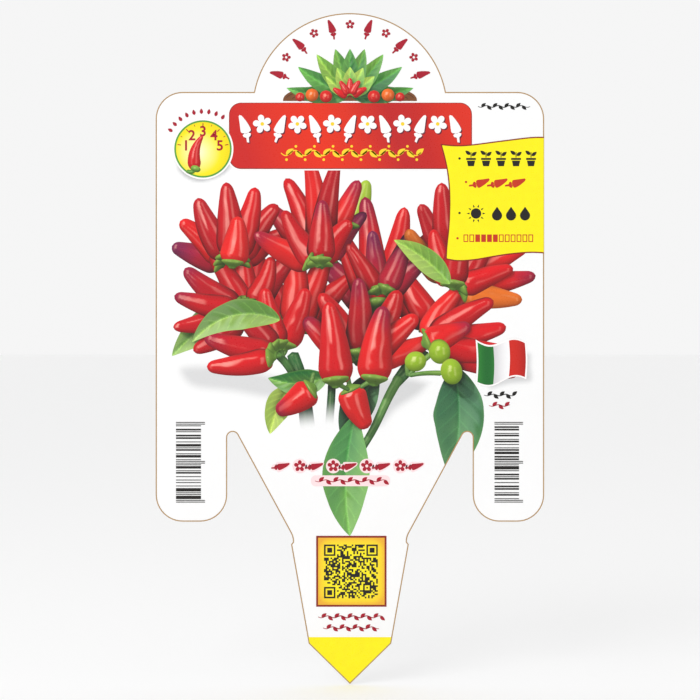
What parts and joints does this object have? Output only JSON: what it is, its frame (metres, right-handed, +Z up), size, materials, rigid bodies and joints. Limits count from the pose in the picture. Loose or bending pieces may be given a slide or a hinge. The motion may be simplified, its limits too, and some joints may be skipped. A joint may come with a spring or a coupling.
{
  "type": "plant label",
  "caption": "Flat die-cut plastic plant label with a domed head, two side arms and a barbed stake, printed on one face.",
  "frame": {"origin": "on the stake's centre line, half way through the sheet, at the barb where the stake locks into a slot or meets the compost", "axes": "+Z up from the stake's tip to the domed head, -Y out of the printed face, +X to the right as the printed face is seen"},
  "size_m": [0.1216, 0.0006, 0.2099],
  "materials": {
    "label_plastic": "satin white sheet plastic",
    "print_ink": "gloss printed ink film"
  },
  "bodies": {
    "root": {"label_card": "label_plastic"}
  },
  "joints": []
}
